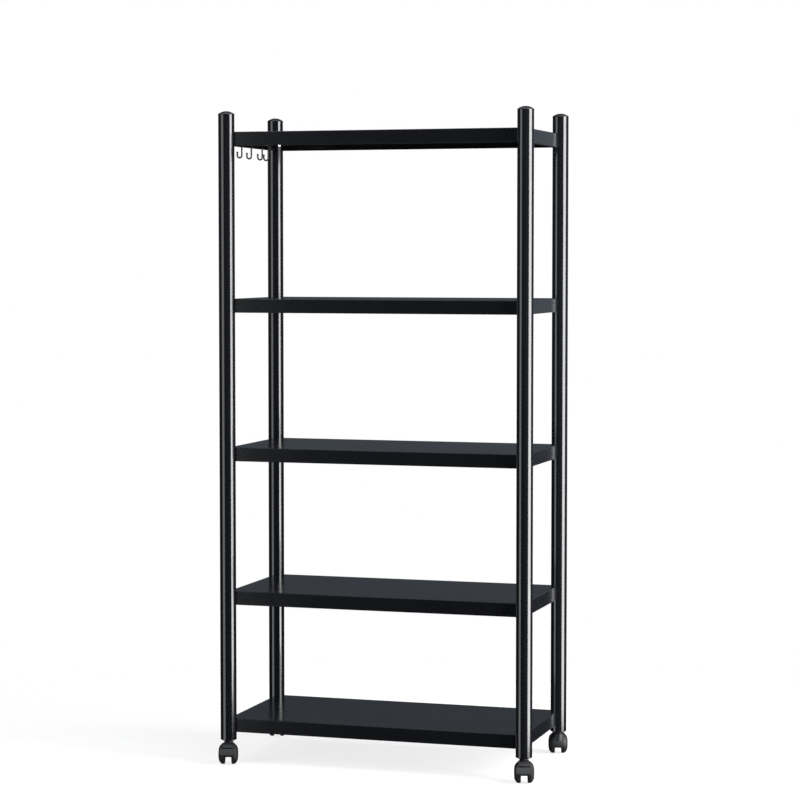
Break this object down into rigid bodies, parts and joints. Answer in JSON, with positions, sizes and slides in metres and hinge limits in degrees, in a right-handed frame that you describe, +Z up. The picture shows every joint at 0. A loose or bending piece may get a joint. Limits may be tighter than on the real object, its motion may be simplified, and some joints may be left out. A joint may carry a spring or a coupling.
{
  "type": "rolling kitchen shelf rack",
  "caption": "Tall black steel kitchen rack: round tube posts, folded sheet shelves, twin-wheel casters with brake pedals and wire hooks under the top shelf.",
  "frame": {"origin": "on the floor, under the middle of the rack", "axes": "+Z up, +X to the right seen from the front, -Y towards the front"},
  "size_m": [0.8266, 0.4552, 1.6185],
  "materials": {
    "black_steel": "satin black powder coat",
    "black_plastic": "fine moulded grain",
    "caster_plastic": "moulded nylon",
    "wheel_plastic": "moulded nylon with a worn tread",
    "pedal_plastic": "moulded nylon",
    "zinc_steel": "bright zinc",
    "hook_steel": "black paint"
  },
  "bodies": {
    "rack": {"front_left_post": "black_steel", "front_left_cap": "black_plastic", "front_left_caster_socket": "black_plastic", "front_left_caster_stem": "zinc_steel", "front_left_rivet_nuts": "zinc_steel", "front_right_post": "black_steel", "front_right_cap": "black_plastic", "front_right_caster_socket": "black_plastic", "front_right_caster_stem": "zinc_steel", "front_right_rivet_nuts": "zinc_steel", "rear_right_post": "black_steel", "rear_right_cap": "black_plastic", "rear_right_caster_socket": "black_plastic", "rear_right_caster_stem": "zinc_steel", "rear_right_rivet_nuts": "zinc_steel", "rear_left_post": "black_steel", "rear_left_cap": "black_plastic", "rear_left_caster_socket": "black_plastic", "rear_left_caster_stem": "zinc_steel", "rear_left_rivet_nuts": "zinc_steel", "bottom_shelf": "black_steel", "bottom_shelf_ribs": "black_steel", "second_shelf": "black_steel", "second_shelf_ribs": "black_steel", "third_shelf": "black_steel", "third_shelf_ribs": "black_steel", "fourth_shelf": "black_steel", "fourth_shelf_ribs": "black_steel", "top_shelf": "black_steel", "top_shelf_ribs": "black_steel", "shelf_bolts": "zinc_steel"},
    "front_left_caster": {"front_left_caster_hood": "caster_plastic", "front_left_axle": "zinc_steel", "front_left_brake_pin": "zinc_steel"},
    "front_left_left_wheel": {"front_left_left_wheel": "wheel_plastic"},
    "front_left_right_wheel": {"front_left_right_wheel": "wheel_plastic"},
    "front_left_brake_pedal": {"front_left_brake_pedal": "pedal_plastic"},
    "front_right_caster": {"front_right_caster_hood": "caster_plastic", "front_right_axle": "zinc_steel", "front_right_brake_pin": "zinc_steel"},
    "front_right_left_wheel": {"front_right_left_wheel": "wheel_plastic"},
    "front_right_right_wheel": {"front_right_right_wheel": "wheel_plastic"},
    "front_right_brake_pedal": {"front_right_brake_pedal": "pedal_plastic"},
    "rear_right_caster": {"rear_right_caster_hood": "caster_plastic", "rear_right_axle": "zinc_steel", "rear_right_brake_pin": "zinc_steel"},
    "rear_right_left_wheel": {"rear_right_left_wheel": "wheel_plastic"},
    "rear_right_right_wheel": {"rear_right_right_wheel": "wheel_plastic"},
    "rear_right_brake_pedal": {"rear_right_brake_pedal": "pedal_plastic"},
    "rear_left_caster": {"rear_left_caster_hood": "caster_plastic", "rear_left_axle": "zinc_steel", "rear_left_brake_pin": "zinc_steel"},
    "rear_left_left_wheel": {"rear_left_left_wheel": "wheel_plastic"},
    "rear_left_right_wheel": {"rear_left_right_wheel": "wheel_plastic"},
    "rear_left_brake_pedal": {"rear_left_brake_pedal": "pedal_plastic"},
    "front_hook": {"front_hook": "hook_steel"},
    "second_hook": {"second_hook": "hook_steel"},
    "third_hook": {"third_hook": "hook_steel"},
    "rear_hook": {"rear_hook": "hook_steel"}
  },
  "joints": [
    {"name": "front_left_swivel", "type": "hinge", "parent": "rack", "child": "front_left_caster", "pos_m": [-0.38, -0.175, 0.045], "axis": [0, 0, 1], "continuous": true},
    {"name": "front_left_left_wheel_spin", "type": "hinge", "parent": "front_left_caster", "child": "front_left_left_wheel", "pos_m": [-0.37561, -0.18934, 0.025], "axis": [0.9563, 0.2924, 0], "continuous": true},
    {"name": "front_left_right_wheel_spin", "type": "hinge", "parent": "front_left_caster", "child": "front_left_right_wheel", "pos_m": [-0.37561, -0.18934, 0.025], "axis": [0.9563, 0.2924, 0], "continuous": true},
    {"name": "front_left_brake_press", "type": "hinge", "parent": "front_left_caster", "child": "front_left_brake_pedal", "pos_m": [-0.37108, -0.20417, 0.038], "axis": [0.9563, 0.2924, 0], "range_deg": [0, 18]},
    {"name": "front_right_swivel", "type": "hinge", "parent": "rack", "child": "front_right_caster", "pos_m": [0.38, -0.175, 0.045], "axis": [0, 0, 1], "continuous": true},
    {"name": "front_right_left_wheel_spin", "type": "hinge", "parent": "front_right_caster", "child": "front_right_left_wheel", "pos_m": [0.38439, -0.18934, 0.025], "axis": [0.9563, 0.2924, 0], "continuous": true},
    {"name": "front_right_right_wheel_spin", "type": "hinge", "parent": "front_right_caster", "child": "front_right_right_wheel", "pos_m": [0.38439, -0.18934, 0.025], "axis": [0.9563, 0.2924, 0], "continuous": true},
    {"name": "front_right_brake_press", "type": "hinge", "parent": "front_right_caster", "child": "front_right_brake_pedal", "pos_m": [0.38892, -0.20417, 0.038], "axis": [0.9563, 0.2924, 0], "range_deg": [0, 18]},
    {"name": "rear_right_swivel", "type": "hinge", "parent": "rack", "child": "rear_right_caster", "pos_m": [0.38, 0.175, 0.045], "axis": [0, 0, 1], "continuous": true},
    {"name": "rear_right_left_wheel_spin", "type": "hinge", "parent": "rear_right_caster", "child": "rear_right_left_wheel", "pos_m": [0.37561, 0.18934, 0.025], "axis": [0.9563, 0.2924, 0], "continuous": true},
    {"name": "rear_right_right_wheel_spin", "type": "hinge", "parent": "rear_right_caster", "child": "rear_right_right_wheel", "pos_m": [0.37561, 0.18934, 0.025], "axis": [0.9563, 0.2924, 0], "continuous": true},
    {"name": "rear_right_brake_press", "type": "hinge", "parent": "rear_right_caster", "child": "rear_right_brake_pedal", "pos_m": [0.37108, 0.20417, 0.038], "axis": [-0.9563, -0.2924, 0], "range_deg": [0, 18]},
    {"name": "rear_left_swivel", "type": "hinge", "parent": "rack", "child": "rear_left_caster", "pos_m": [-0.38, 0.175, 0.045], "axis": [0, 0, 1], "continuous": true},
    {"name": "rear_left_left_wheel_spin", "type": "hinge", "parent": "rear_left_caster", "child": "rear_left_left_wheel", "pos_m": [-0.38439, 0.18934, 0.025], "axis": [0.9563, 0.2924, 0], "continuous": true},
    {"name": "rear_left_right_wheel_spin", "type": "hinge", "parent": "rear_left_caster", "child": "rear_left_right_wheel", "pos_m": [-0.38439, 0.18934, 0.025], "axis": [0.9563, 0.2924, 0], "continuous": true},
    {"name": "rear_left_brake_press", "type": "hinge", "parent": "rear_left_caster", "child": "rear_left_brake_pedal", "pos_m": [-0.38892, 0.20417, 0.038], "axis": [-0.9563, -0.2924, 0], "range_deg": [0, 18]},
    {"name": "front_hook_slide", "type": "slide", "parent": "rack", "child": "front_hook", "axis": [0, 1, 0], "range_m": [-0.023, 0.031]},
    {"name": "second_hook_slide", "type": "slide", "parent": "rack", "child": "second_hook", "axis": [0, 1, 0], "range_m": [-0.03, 0.036]},
    {"name": "third_hook_slide", "type": "slide", "parent": "rack", "child": "third_hook", "axis": [0, 1, 0], "range_m": [-0.036, 0.019]},
    {"name": "rear_hook_slide", "type": "slide", "parent": "rack", "child": "rear_hook", "axis": [0, 1, 0], "range_m": [-0.019, 0.056]}
  ]
}
